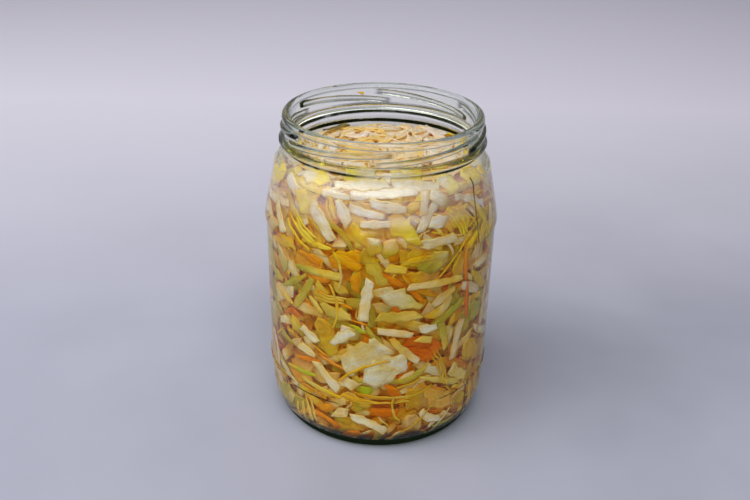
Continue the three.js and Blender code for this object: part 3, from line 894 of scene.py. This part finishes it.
put("leaf", 424, 392, 450, 404, 9.0, two((226, 166, 86)), wave=0.3)
put("leaf", 446, 212, 470, 222, 9.0, two((228, 168, 22)), wave=0.3)
put("leaf", 296, 196, 322, 212, 9.0, two((228, 182, 40)), wave=0.3)
put("rib", 352, 415, 388, 430, 3.9, two(wht), bow=-0.5)
put("carrot", 420, 386, 446, 391, 2.2, two(car2))
put("strip", 420, 377, 457, 381, 3.0, two(crm))
put("green", 432, 426, 453, 416, 2.2, two(lim, grn))
put("strip", 302, 377, 341, 398, 2.2, two(crm, yel))
put("green", 288, 363, 316, 376, 2.6, two(yel, lim))
put("rib", 425, 193, 424, 216, 3.6, two(wht2))
put("rib", 432, 195, 456, 208, 4.6, two(wht, grn))
put("rib", 287, 178, 300, 196, 5.0, two(wht))
put("rib", 334, 186, 388, 184, 4.6, two(wht), taper=(0.6, 0.9), wave=0.4)
put("rib", 350, 195, 418, 192, 4.0, two(wht), taper=(0.8, 0.6), wave=0.4)
put("rib", 392, 184, 440, 187, 5.0, two(wht, wht2), taper=(0.9, 0.6), wave=0.4)
put("rib", 322, 193, 350, 200, 3.6, two(wht), taper=(0.7, 0.6), wave=0.3)
put("leaf", 302, 176, 330, 180, 7.0, two(wht2, (228, 190, 80)), wave=0.3)
put("leaf", 438, 180, 460, 188, 7.0, two(wht2, (226, 190, 90)), wave=0.3)
put("leaf", 262, 176, 284, 174, 8.0, two((226, 184, 34)), wave=0.3)
put("leaf", 462, 174, 482, 180, 8.0, two((226, 186, 44)), wave=0.3)
put("leaf", 346, 176, 376, 178, 7.0, two((228, 200, 120), wht), wave=0.3)
put("leaf", 392, 178, 424, 176, 7.0, two(wht, (228, 196, 100)), wave=0.3)
put("rib", 288, 206, 270, 190, 3.6, two(wht2))
put("rib", 470, 166, 473, 188, 3.2, two(wht2))


def fill(field, place, count, area, goal, spot, mixes, angle, tries=14, level=1, fits=None, **kw):
    """Lays pieces one by one, each where it hides least of those already there."""
    n = 0
    for i in range(count):
        done = (area(field.C) >= level).mean()
        if done >= goal:
            break
        k = 1.0 if done < 0.62 * goal else (0.72 if done < 0.85 * goal else 0.46)
        k = k * rng.uniform(0.85, 1.1)
        what = mixes[rng.integers(len(mixes))]
        mo = kind_of(what, k)
        # painted shade: pieces behind the first layer are painted darker amber, for the shade in the gaps between the
        # front pieces
        if level > 1 and mo[4] != "carrot":
            painted_depth_shade = np.array([0.99, rng.uniform(0.72, 0.9), rng.uniform(0.1, 0.32)])
            mo = (*mo[:3], (mo[3][0] * painted_depth_shade, mo[3][1] * painted_depth_shade), *mo[4:])
        best, cost = None, 9
        for _ in range(tries):
            a0, b0 = spot()
            th = angle(a0, b0)
            s = np.linspace(-0.46, 0.46, max(3, int(mo[0] / 1.3)))[:, None] * mo[0]
            l = np.array([-0.38, 0, 0.38])[None, :] * mo[1]
            A, B = a0 + math.cos(th) * s - math.sin(th) * l, b0 + math.sin(th) * s + math.cos(th) * l
            if fits is not None and not fits(A, B):
                continue
            c = np.clip(field.cover(A, B) - (level - 1), 0, 2).mean() + rng.uniform(0, 0.05)
            if c < cost:
                best, cost = (a0, b0, th), c
        if best is None or (cost > 0.62 and level == 1):
            continue
        draw(field, place, *best, what, made_of=mo, **kw)
        n += 1
    return n


def wall_spot():
    u = rng.uniform(0, 2 * math.pi * R0)
    return u, rng.uniform(T_LOW - 3, edge_line(u) - 0.5)


def wall_angle(u, t):
    th = lie(u, t) + rng.normal(0, 0.6) + (math.pi / 2 if rng.random() < 0.13 else 0)
    room = edge_line(u) - t
    return th if room > 9 else th * np.clip(room / 9, 0.1, 1)


def under_edge(A, B):
    return B.max() < edge_line(A.ravel()[np.argmax(B)]) + 0.3 and B.min() > T_LOW - 6


wall_part = lambda C: C[:, 20:int((edge_t - 1 - wall.b0) / 0.4)]
n1 = fill(wall, on_wall, 1500, wall_part, 0.955, wall_spot, MIXES, wall_angle, fits=under_edge)
n2 = fill(wall, on_wall, 700, wall_part, 0.93, wall_spot, BEHIND, wall_angle, tries=6, level=2, fits=under_edge)
n3 = fill(wall, on_wall, 330, wall_part, 0.9, wall_spot, BEHIND, wall_angle, tries=5, level=3, fits=under_edge)
print("wall", n1, n2, n3, "cover", [(wall_part(wall.C) >= q).mean().round(3) for q in (1, 2, 3)], "depth", np.percentile(wall_part(wall.D), [5, 50, 95]))

# floor of the jar
base = Field(-42, 42, -42, 42, 0.5)


def floor_place(a, b, d):
    r = np.hypot(a, b)
    k = np.minimum(1, 39.0 / np.maximum(r, 1e-6))
    return np.stack([a * k, b * k, floor_z(r * k) + d], -1)


def disc_spot(rmax):
    def f():
        r, p = rmax * math.sqrt(rng.random()), rng.uniform(0, 6.2832)
        return r * math.sin(p), -r * math.cos(p)
    return f


def in_disc(rmax):
    return lambda A, B: np.hypot(A, B).max() < rmax


gb = np.arange(base.na) * 0.5 - 41.75
disc = np.hypot(*np.meshgrid(gb, gb, indexing="ij")) < 34
floor_part = lambda C: C[disc]
any_angle = lambda a, b: rng.uniform(0, math.pi)
n_floor = fill(base, floor_place, 260, floor_part, 0.93, disc_spot(36), MIXES, any_angle, tries=8, fits=in_disc(38))
n_floor += fill(base, floor_place, 120, floor_part, 0.8, disc_spot(36), BEHIND, any_angle, tries=4, level=2, fits=in_disc(38))

# top of the heap
top = Field(-40, 40, -40, 40, 0.5)
gx, gy = np.meshgrid(*(np.arange(n) * 0.5 - 39.75 for n in (top.na, top.nb)), indexing="ij")
top.D[:] = heap_top(gx, gy) - 4.6
core_top = top.D.copy()
allco = np.concatenate([np.concatenate(p.co) for p in piles.values() if p.co])
near = allco[(allco[:, 2] > EDGE_Z - 8)]
ii, jj = top.ij(near[:, 0], near[:, 1])
for di in (-1, 0, 1):
    for dj in (-1, 0, 1):
        np.maximum.at(top.D, (np.clip(ii + di, 0, top.na - 1), np.clip(jj + dj, 0, top.nb - 1)), near[:, 2])


def top_place(a, b, d):
    r = np.hypot(a, b)
    k = np.minimum(1, (r_in(d) + 0.02) / np.maximum(r, 1e-6))
    return np.stack([a * k, b * k, d], -1)


def top_limit(extra):
    return lambda A, B: heap_top(A, B) + extra


TOPS = ["rib"] * 32 + ["strip"] * 40 + ["thin"] * 16 + ["leaf"] * 8 + ["block"] * 4


def level_at(px, py, z):
    """(x, y) at a height z seen at a point of the frame, over the lip."""
    v = (r2 * ((px - 375) / FOCAL) + d2 * ((py - 250) / FOCAL) + ahead).normalized()
    q = eye + v * ((z - eye.z) / v.z)
    return q.x, q.y


n_top, missed = 0, 0
# pieces of the heap above the brine: rims barely tinted, with little stain or painted shade
RIM_STAIN_AND_SHADE = np.array([1.0, 0.98, 0.92])
for i in range(900):
    spots = [disc_spot(35)() for _ in range(8)]
    room = [float(top.at(np.array([p[0]]), np.array([p[1]]))[0] - heap_top(p[0], p[1])) for p in spots]
    k = int(np.argmin(room))
    if room[k] > -0.5:
        missed += 1
        if missed > 60:
            break
        continue
    a0, b0 = spots[k]
    r = math.hypot(a0, b0)
    th = rng.uniform(0, math.pi)
    if r > 27:
        th = math.atan2(b0, a0) + math.pi / 2 + rng.normal(0, 0.35)
    what = TOPS[rng.integers(len(TOPS))]
    mo = kind_of(what, rng.uniform(1.0, 1.35))
    if mo[4] != "carrot":
        pale = np.array([lin3(228, 211, 190), lin3(226, 220, 222), lin3(228, 216, 210), lin3(226, 190, 112)][rng.integers(4)])
        mo = (*mo[:3], tuple((q * 0.15 + pale * 0.85) * 0.88 for q in mo[3]), *mo[4:])
    ok = draw(top, top_place, a0, b0, th, what, made_of=mo, slope=0.42, start=-0.5, tilt=rng.normal(0, 0.16),
              wave=rng.uniform(0.4, 1.2) if what != "thin" else 0.2, curve=rng.normal(0, 0.09), limit=top_limit(1.5 if i < 500 else 2.2))
    n_top += bool(ok)
print("floor pieces", n_floor, "top pieces", n_top, "over heap", np.percentile((top.D - heap_top(gx, gy))[np.hypot(gx, gy) < 33], [5, 50, 95]))

# one dark outer leaf at the back on the left
gx0, gy0 = level_at(337, 133, 110.5)
dark_leaf = np.array(lin3(18, 34, 12)), np.array(lin3(36, 52, 20))
draw(top, top_place, gx0, gy0, 0.25, "leaf", made_of=(12, 5.0, 0.5, dark_leaf, "leaves", "leaf"), slope=0.5, start=0.0, wave=0.8)

# a crumb of carrot stuck inside the neck, at the back
vv = (r2 * ((360 - 375) / FOCAL) + d2 * ((88 - 250) / FOCAL) + ahead).normalized()
qa, qb, qc = vv.x ** 2 + vv.y ** 2, 2 * (eye.x * vv.x + eye.y * vv.y), eye.x ** 2 + eye.y ** 2 - LIP_IN ** 2
crumb = eye + vv * ((-qb + math.sqrt(qb * qb - 4 * qa * qc)) / (2 * qa))
cu, ct_ = math.atan2(crumb.x, -crumb.y) % (2 * math.pi) * R0, float(t_of_z(crumb.z))
spot_field = Field(cu - 9, cu + 9, ct_ - 9, ct_ + 9, 0.4)
bit = (np.array(lin3(226, 160, 84)), np.array(lin3(230, 184, 120)))
draw(spot_field, on_wall, cu, ct_, 0.4, "slice", made_of=(3.6, 1.8, 0.6, bit, "carrot", "strip"), wave=0.2)
draw(spot_field, on_wall, cu + 0.3, ct_ + 1.3, -0.7, "slice", made_of=(2.2, 1.0, 0.5, bit, "carrot", "strip"), wave=0.2)

# ---------------------------------------------------------------- the core
def dilate(D, n, wrap):
    for _ in range(n):
        E = D.copy()
        for ax in (0, 1):
            for sh in (1, -1):
                R = np.roll(D, sh, ax)
                E = np.maximum(E, R)
        D = E
    return D


def blur(D, n):
    for _ in range(n):
        D = (D + np.roll(D, 1, 0) + np.roll(D, -1, 0) + np.roll(D, 1, 1) + np.roll(D, -1, 1)) / 5
    return D


def core_mesh():
    depth = blur(np.maximum(wall.D, 2.2), 3)
    nphi = 220
    ph = np.linspace(0, 2 * math.pi, nphi, endpoint=False)
    rows = []
    # floor: from the middle out
    for r in np.linspace(4, 34, 14):
        x, y = r * np.sin(ph), -r * np.cos(ph)
        rows.append(np.stack([x, y, floor_z(np.full(nphi, r)) + np.maximum(base.at(x, y), 1.2)], -1))
    bd = base.at(33 * np.sin(ph), -33 * np.cos(ph))
    t_first = T_LOW + 3
    for t in np.arange(t_first, edge_t - 4.0, 1.3):
        u = ph * R0
        d = depth[wall.ij(u, np.full(nphi, t))]
        k = np.clip((t - t_first) / 5, 0, 1)
        d = d * k + np.maximum(bd, 2.0) * (1 - k)
        rows.append(on_wall(u, np.full(nphi, t), np.clip(d, 1.5, 9.0)))
    last = rows[-1]
    rl = np.hypot(last[:, 0], last[:, 1])
    for q in np.linspace(0.97, 0.04, 26):
        x, y = last[:, 0] * q, last[:, 1] * q
        i, j = top.ij(x, y)
        z = core_top[i, j] + 0.9 * np.sin(x * 1.1 + 2 * np.sin(y * 0.7)) * np.cos(y * 0.9)
        z = np.maximum(z, last[:, 2] * 0 + last[:, 2].min() - 1) - 1.0
        rows.append(np.stack([x, y, z], -1))
    co = np.stack(rows).reshape(-1, 3)
    n = len(rows)
    co = np.concatenate([co, [[0, 0, rows[0][:, 2].mean()], [0, 0, rows[-1][:, 2].mean()]]])
    i = np.arange(n - 1)[:, None] * nphi
    j = np.arange(nphi)[None, :]
    k = (j + 1) % nphi
    quads = np.stack([i + j, i + k, i + nphi + k, i + nphi + j], -1).reshape(-1, 4)
    m = nphi
    lo = np.stack([np.full(m, len(co) - 2), (np.arange(m) + 1) % m, np.arange(m)], -1)
    t0 = (n - 1) * m
    hi = np.stack([np.full(m, len(co) - 1), t0 + np.arange(m), t0 + (np.arange(m) + 1) % m], -1)
    return co, [quads, lo, hi]


def shaded_core_material():
    n = Nodes("packed_kraut_painted_shade")
    p = n.new("ShaderNodeBsdfPrincipled")
    geo = n.new("ShaderNodeTexCoord").outputs["Object"]
    a = n.noise(n.scaled(geo, (260, 260, 420)), 1.0, 4.0, 0.6, 0.8)
    b = n.noise(n.scaled(geo, (90, 90, 120)), 1.0, 3.0)
    # painted shade: the core is dark amber, kraut in shade seen through the gaps
    c = n.ramp(a, [(0.32, lin3(170, 98, 4)), (0.45, lin3(206, 136, 12)), (0.56, lin3(220, 160, 30)), (0.7, lin3(230, 186, 70))])
    c = n.mix(n.range(b, 0.5, 0.72, 0, 0.5), c, lin3(212, 118, 10))
    sep = n.new("ShaderNodeSeparateXYZ")
    n.link(geo, sep.inputs[0])
    # painted light: paler golden towards the top, where more light comes in through the shoulder
    c = n.mix(n.range(sep.outputs["Z"], 0.078, 0.098, 0.0, 0.8), c, lin3(238, 188, 30))
    n.link(c, p.inputs["Base Color"])
    p.inputs["Roughness"].default_value = 0.5
    p.inputs["Specular Tint"].default_value = (0.05, 0.05, 0.05, 1)
    n.link(n.bump(a, 0.8, 0.0012), p.inputs["Normal"])
    n.link(p.outputs[0], n.out.inputs["Surface"])
    return n.mat


# ------------------------------------------------------------- make the pieces
made = []
mats = {k: shred_material({"threads": "fine_thread", "ribs": "cabbage_rib", "strips": "cabbage_strip", "green": "cabbage_green", "leaves": "cabbage_leaf", "carrot": "carrot"}[k], p.kind)
        for k, p in piles.items()}
for k, p in piles.items():
    ob = p.build(mats[k])
    print(p.name, len(p.co), "pieces", sum(len(x) for x in p.q) * 2, "triangles")
    made.append(ob)

co, faces = core_mesh()
made.append(make_mesh("kraut_core", co, faces, [shaded_core_material()]))

# brine: reaches just into the wall, so that no air shows between them
lvl = BRINE_Z
prof = np.array([[r, z] for r, z in zip(PR, PZ) if z < lvl])
tn = np.array([[a, b] for a, b, z in zip(NR, NZ, PZ) if z < lvl])
prof = (prof - tn * 0.12)[::3]
prof[0] = [0, prof[0, 1]]
r_l = float(r_in(lvl)) + 0.12
rim = [[r_l, lvl + 0.9], [r_l - 0.35, lvl + 0.35], [r_l - 1.1, lvl + 0.08], [r_l - 2.2, lvl], [r_l * 0.6, lvl], [0, lvl]]
prof = np.concatenate([prof, rim])
co, faces = lathe(prof, np.linspace(0, 2 * math.pi, 144, endpoint=False))
brine = make_mesh("brine", co, faces, [clear_material("brine", 1.34, (1.0, 0.995, 0.97), (0.94, 0.71, 0.06), 330.0, mirror=0.03)])
made.append(brine)

# glass
seams = np.radians([SEAM_DEG, SEAM_DEG + 180])
phis = np.linspace(0, 2 * math.pi, 222, endpoint=False)
extra = np.concatenate([s % (2 * math.pi) + np.radians([-0.75, -0.45, -0.22, 0, 0.22, 0.45, 0.75]) for s in seams])
phis = np.unique(np.round(np.concatenate([phis, extra]), 5))


def relief(deg, d, r):
    out = np.where((d > LIP_ROUND + 0.2) & (d < BEAD_D) & (r > 38), lug(deg, d), 0.0)
    # mould seams, fine upright lines down the outside
    for s in (SEAM_DEG, SEAM_DEG + 180):
        x = np.abs((deg - s + 180) % 360 - 180)
        line = np.clip(1 - x / 0.45, 0, 1)
        out = out + np.where((r > 40.6) & (d > 14), 0.14 * line, 0)
    return out


section = np.concatenate([outer_section(), inner_section()])
section[0, 0] = section[-1, 0] = 0
gap = np.concatenate([[True], np.linalg.norm(np.diff(section, axis=0), axis=1) > 1e-4])
section = section[gap]
co, faces = lathe(section, phis, relief)
glass = make_mesh("jar_glass", co, faces, [clear_material("clear_glass", 1.5, (0.94, 0.95, 0.93), (0.42, 0.70, 0.10), 30.0, mirror=None, foot=(0.30, 0.36, 0.26),
                                                          ripple=((26, 26, 170), 0.4, 0.0018))])
# gloss: dry faces shine, faces wetted by the brine hardly do; thick: the heavy foot
rr_, zz_ = np.hypot(co[:, 0], co[:, 1]), co[:, 2]
inside = (rr_ < np.interp(zz_, OUT_Z[12:], OUT_R[12:]) - 1.6) & (zz_ > FLOOR_Z - 0.6)
shine = np.where(inside, np.where(zz_ > BRINE_Z, 0.4, 0.03), 0.12 + 0.88 * smooth((zz_ - (H - 40)) / 6) - 0.55 * smooth((zz_ - (H - 17)) / 3))
shine = np.where(~inside & (zz_ < 8), 0.05, shine)
dd, deg_ = H - zz_, np.degrees(np.arctan2(co[:, 0], -co[:, 1]))
shine = np.where(~inside & (dd > 2.6) & (dd < 9.2), 0.16, shine)
shine = np.where(inside & (dd < 18), 0.2, shine)


def band(x, mid, half):
    return np.clip(1.5 - np.abs(x - mid) / half, 0, 1)


def stretch(spans, soft=5.0):
    """1 along the given spans of angle, fading at their ends."""
    return np.maximum.reduce([smooth((deg_ - a) / soft) * smooth((b - deg_) / soft) for a, b in spans])


# painted shade: where the olive lines and the near-black foot are painted on the glass
edge = np.where(~inside, np.maximum.reduce([
    band(dd, RING_HI_D + 1.35, 0.5) * (0.15 + 1.0 * stretch([(-100, -54), (57, 100)]) + 0.4 * stretch([(118, 160), (-165, -120)])),
    band(dd, RING_LO_D + 1.0, 0.5) * (0.2 + 1.1 * stretch([(-50, -19), (31, 70)]) + 0.4 * stretch([(96, 140), (-150, -96)])),
    (0.4 + 1.5 * smooth((np.abs(deg_ - 9) - 6) / 40)) * band(dd, 12.5, 0.5), 0.5 * band(dd, 8.9, 0.35),
    4 * np.clip((5.6 - zz_) / 1.6, 0, 1)]), 0.0)
seam_ = np.minimum(*[np.abs((deg_ - q + 180) % 360 - 180) for q in (SEAM_DEG, SEAM_DEG + 180)])
edge = np.maximum(edge, np.where(~inside & (rr_ > 40.6) & ((dd < 42) | (dd > 105)), 1.0 * np.clip(1.3 - seam_ / 0.5, 0, 1), 0))
edge = np.maximum(edge, np.where(inside & (np.abs(deg_) > 95), 4.0 * band(dd, 16.2, 0.7) * smooth((np.abs(deg_) - 110) / 25), 0))
lx = np.where(~inside, lug(deg_, dd) / LUG_PROUD, 0)
edge = np.maximum(edge, np.where((dd > LIP_ROUND + 0.2) & (dd < BEAD_D), 2.0 * lx * (1 - lx), 0))
# shoulder band outside: rougher glass, and where the painted highlight veil goes
haze_and_painted_highlight = np.where(~inside, smooth((zz_ - (H - 32)) / 6) * smooth(((H - 12.5) - zz_) / 3), 0)
for nm, val in (("edge", np.column_stack([edge] * 3 + [np.ones(len(co))])), ("haze_and_painted_highlight", np.column_stack([haze_and_painted_highlight] * 3 + [np.ones(len(co))])), ("gloss", np.column_stack([shine] * 3 + [np.ones(len(co))])), ("thick", np.column_stack([smooth((11 - zz_) / 5)] * 3 + [np.ones(len(co))]))):
    at = glass.data.attributes.new(nm, "FLOAT_COLOR", "POINT")
    at.data.foreach_set("color", val.astype(np.float32).ravel())
print("glass", len(faces[0]) * 2, "triangles")
made.append(glass)

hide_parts("glass_jar")
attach(glass, "root")
for ob in made:
    if ob is not glass:
        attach(ob, "root")
        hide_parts("sauerkraut")

# --------------------------------------------------------------------- stage
def floor_material():
    n = Nodes("studio_floor")
    p = n.new("ShaderNodeBsdfPrincipled")
    geo = n.new("ShaderNodeTexCoord").outputs["Object"]
    sep = n.new("ShaderNodeSeparateXYZ")
    n.link(geo, sep.inputs[0])
    f = n.noise(geo, 9.0, 3.0)
    c = n.mix(n.range(f, 0.3, 0.7, 0.0, 1.0), lin3(148, 150, 166), lin3(166, 168, 184))
    # painted light: the floor paler towards the left, where the key and the left fill fall; paler again towards the
    # back, where it is the backdrop
    c = n.mix(n.range(sep.outputs["X"], -0.22, 0.1, 0.5, 0.0), c, lin3(186, 188, 205))
    far = n.range(sep.outputs["Y"], 0.05, 0.42, 0, 1)
    c = n.mix(far, c, lin3(230, 227, 240))
    n.link(c, p.inputs["Base Color"])
    p.inputs["Roughness"].default_value = 0.6
    n.link(p.outputs[0], n.out.inputs["Surface"])
    return n.mat


bpy.ops.mesh.primitive_plane_add(size=8.0, location=(0, 0, 0))
floor = bpy.context.object
floor.name = "studio_floor"
floor.data.materials.append(floor_material())


def area_light(name, az, el, dist, sx, sy, power, color, aim=(0, 0, 0.08)):
    """az from the front (-Y) towards +X."""
    a, e = math.radians(az), math.radians(el)
    loc = Vector(aim) + Vector((math.sin(a) * math.cos(e), -math.cos(a) * math.cos(e), math.sin(e))) * dist
    d = bpy.data.lights.new(name, "AREA")
    d.shape = "RECTANGLE"
    d.size, d.size_y = sx, sy
    d.energy = power
    d.color = color
    o = bpy.data.objects.new(name, d)
    bpy.context.scene.collection.objects.link(o)
    o.location = loc
    o.rotation_mode = "QUATERNION"
    o.rotation_quaternion = (Vector(aim) - loc).to_track_quat("-Z", "Y")
    return o


area_light("key", -24, 65, 1.1, 1.5, 0.8, 14.8, (1.0, 0.985, 0.965))
area_light("fill_left", -78, 32, 1.4, 0.9, 0.9, 5.4, (0.97, 0.97, 1.0))
area_light("window", 10, 5, 1.4, 1.6, 0.40, 4.4, (0.99, 0.985, 1.0))
area_light("back", 172, 48, 1.6, 1.4, 0.9, 4, (0.95, 0.95, 1.0))

world = bpy.data.worlds.new("studio")
bpy.context.scene.world = world
world.use_nodes = True
wt = world.node_tree
bg = wt.nodes["Background"]
bg.inputs[0].default_value = (0.80, 0.82, 0.95, 1)
bg.inputs[1].default_value = 0.07
# the pale room that the glass mirrors and bends
room = wt.nodes.new("ShaderNodeBackground")
room.inputs[0].default_value = (0.84, 0.84, 0.93, 1)
room.inputs[1].default_value = 0.5
path = wt.nodes.new("ShaderNodeLightPath")
seen = wt.nodes.new("ShaderNodeMath")
seen.operation = "MAXIMUM"
wt.links.new(path.outputs["Is Glossy Ray"], seen.inputs[0])
wt.links.new(path.outputs["Is Transmission Ray"], seen.inputs[1])
shown = wt.nodes.new("ShaderNodeMath")
shown.operation = "MAXIMUM"
wt.links.new(seen.outputs[0], shown.inputs[0])
wt.links.new(path.outputs["Is Camera Ray"], shown.inputs[1])
both = wt.nodes.new("ShaderNodeMixShader")
wt.links.new(shown.outputs[0], both.inputs[0])
wt.links.new(bg.outputs[0], both.inputs[1])
wt.links.new(room.outputs[0], both.inputs[2])
wt.links.new(both.outputs[0], wt.nodes["World Output"].inputs["Surface"])

# camera: set further up
cam_data = bpy.data.cameras.new("camera")
cam_data.sensor_width = 36.0
cam_data.lens = FOCAL * 36.0 / 750.0
cam_data.clip_start, cam_data.clip_end = 0.01, 20
cam = bpy.data.objects.new("camera", cam_data)
bpy.context.scene.collection.objects.link(cam)
cam.matrix_world = Matrix((
    (r2.x, -d2.x, -ahead.x, eye.x * MM),
    (r2.y, -d2.y, -ahead.y, eye.y * MM),
    (r2.z, -d2.z, -ahead.z, eye.z * MM),
    (0, 0, 0, 1)))
bpy.context.scene.camera = cam
bpy.context.scene.view_settings.view_transform = "Standard"
bpy.context.scene.view_settings.look = "None"

bpy.context.view_layer.update()
